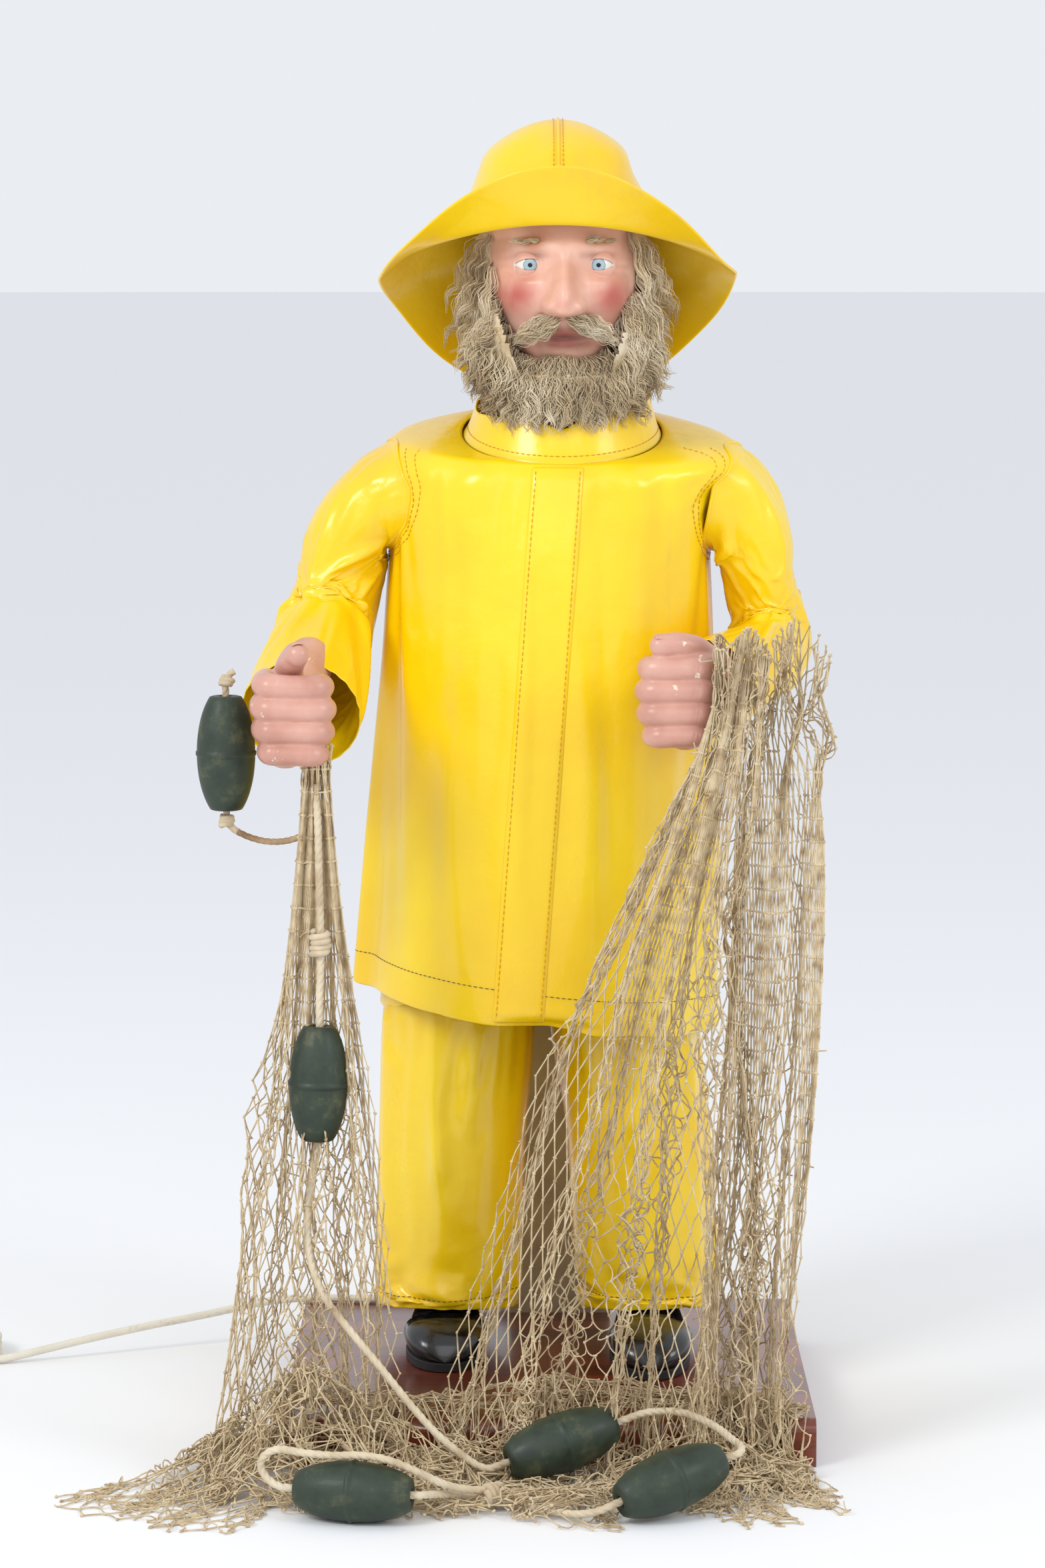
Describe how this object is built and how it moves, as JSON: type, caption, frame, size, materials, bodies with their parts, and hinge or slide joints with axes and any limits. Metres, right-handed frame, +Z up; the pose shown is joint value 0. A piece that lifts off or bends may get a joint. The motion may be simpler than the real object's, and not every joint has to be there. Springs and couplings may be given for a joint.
{
  "type": "animated display figure",
  "caption": "Motor-driven shop-window fisherman in yellow oilskins and sou'wester, hauling a knotted net with rope and floats, on a wooden plinth.",
  "frame": {"origin": "centre of the plinth's underside", "axes": "+Z up, the figure faces -Y, +X is towards its left hand"},
  "size_m": [0.918, 0.6362, 1.1],
  "materials": {
    "plinth_wood": "varnished laminated hardwood staves, red-brown",
    "grey_paint": "matt grey painted timber",
    "plywood": "bare plywood and dowel",
    "steel": "bright steel",
    "brass": "turned brass",
    "motor_paint": "black lacquered can",
    "boot_leather": "polished black leather",
    "boot_rubber": "black rubber",
    "oilskin": "glossy yellow PVC-coated cotton, scuffed on the folds",
    "hand_paint": "moulded composition, flesh-painted, chipped",
    "face_paint": "moulded composition, flesh-painted, satin",
    "mohair": "wavy grey-beige mohair",
    "net_twine": "knotted cotton twine",
    "rope": "three-strand cotton rope",
    "float_green": "moulded dark green plastic, worn satin",
    "flex_pvc": "aged off-white PVC flex",
    "plug_plastic": "aged off-white moulded plug with metal pins",
    "gland_rubber": "black rubber strain relief"
  },
  "bodies": {
    "stand": {"plinth": "plinth_wood", "post": "grey_paint", "frame_screws": "steel", "spine_board": "plywood", "yoke_board": "plywood", "hip_board": "plywood", "leg_pole_right": "plywood", "leg_pole_left": "plywood", "boot_right": "boot_leather", "boot_left": "boot_leather", "boot_sole_right": "boot_rubber", "boot_sole_left": "boot_rubber", "trouser_right": "oilskin", "trouser_left": "oilskin", "trouser_seat": "oilskin", "jacket_body": "oilskin", "jacket_placket": "oilskin", "jacket_collar": "oilskin", "gearbox": "steel", "motor_can": "motor_paint", "gearbox_bracket": "steel", "shoulder_bush_right": "brass", "shoulder_bush_left": "brass", "neck_tube": "brass", "net_curtain_right": "net_twine", "net_curtain_left": "net_twine", "net_pile": "net_twine", "rope_run": "rope", "float_in_net": "float_green", "float_centre": "float_green", "float_near_right": "float_green", "float_near_left": "float_green", "cable_gland": "gland_rubber", "cable_run": "flex_pvc", "cable_coil": "flex_pvc", "cable_plug": "plug_plastic"},
    "cranks": {"crank_shaft": "steel", "crank_disc_right": "brass", "crank_disc_left": "brass"},
    "con_rod_right": {"con_rod_right": "steel"},
    "con_rod_left": {"con_rod_left": "steel"},
    "arm_right": {"arm_shaft_right": "steel", "arm_lever_right": "brass", "arm_rod_right": "steel", "sleeve_right": "oilskin", "fist_right": "hand_paint"},
    "arm_left": {"arm_shaft_left": "steel", "arm_lever_left": "brass", "arm_rod_left": "steel", "sleeve_left": "oilskin", "fist_left": "hand_paint", "net_hank": "net_twine"},
    "head": {"neck_spindle": "steel", "head_shell": "face_paint", "wig": "mohair", "beard": "mohair"},
    "hat": {"hat_crown": "oilskin", "hat_brim": "oilskin"},
    "hanging_float": {"float_hanging": "float_green", "float_tail": "rope"}
  },
  "joints": [
    {"name": "crank_spin", "type": "hinge", "parent": "stand", "child": "cranks", "pos_m": [0.008, 0.075, 0.64], "axis": [1, 0, 0], "continuous": true},
    {"name": "con_rod_right_pivot", "type": "hinge", "parent": "cranks", "child": "con_rod_right", "pos_m": [-0.052, 0.0687, 0.64], "axis": [1, 0, 0], "continuous": true},
    {"name": "con_rod_left_pivot", "type": "hinge", "parent": "cranks", "child": "con_rod_left", "pos_m": [0.068, 0.0813, 0.64], "axis": [1, 0, 0], "continuous": true},
    {"name": "arm_right_swing", "type": "hinge", "parent": "stand", "child": "arm_right", "pos_m": [-0.1, 0.03, 0.785], "axis": [1, 0, 0], "range_deg": [-8, 8], "deforming": ["net_curtain_right", "rope_run"]},
    {"name": "arm_left_swing", "type": "hinge", "parent": "stand", "child": "arm_left", "pos_m": [0.1, 0.03, 0.785], "axis": [1, 0, 0], "range_deg": [-8, 8], "deforming": ["net_curtain_left"]},
    {"name": "head_turn", "type": "hinge", "parent": "stand", "child": "head", "pos_m": [0.012, 0.03, 0.85], "axis": [0, 0, 1], "range_deg": [-18, 18]},
    {"name": "hat_lift", "type": "slide", "parent": "head", "child": "hat", "axis": [0, 0, 1], "range_m": [0, 0.16]},
    {"name": "float_swing", "type": "hinge", "parent": "arm_right", "child": "hanging_float", "pos_m": [-0.265, -0.149, 0.645], "axis": [1, 0, 0], "range_deg": [-10, 10]}
  ],
  "couplings": [
    {"joint": "con_rod_right_pivot", "follows": "crank_spin", "ratio": -1},
    {"joint": "con_rod_left_pivot", "follows": "crank_spin", "ratio": -1},
    {"joint": "arm_left_swing", "follows": "arm_right_swing", "ratio": -1}
  ]
}
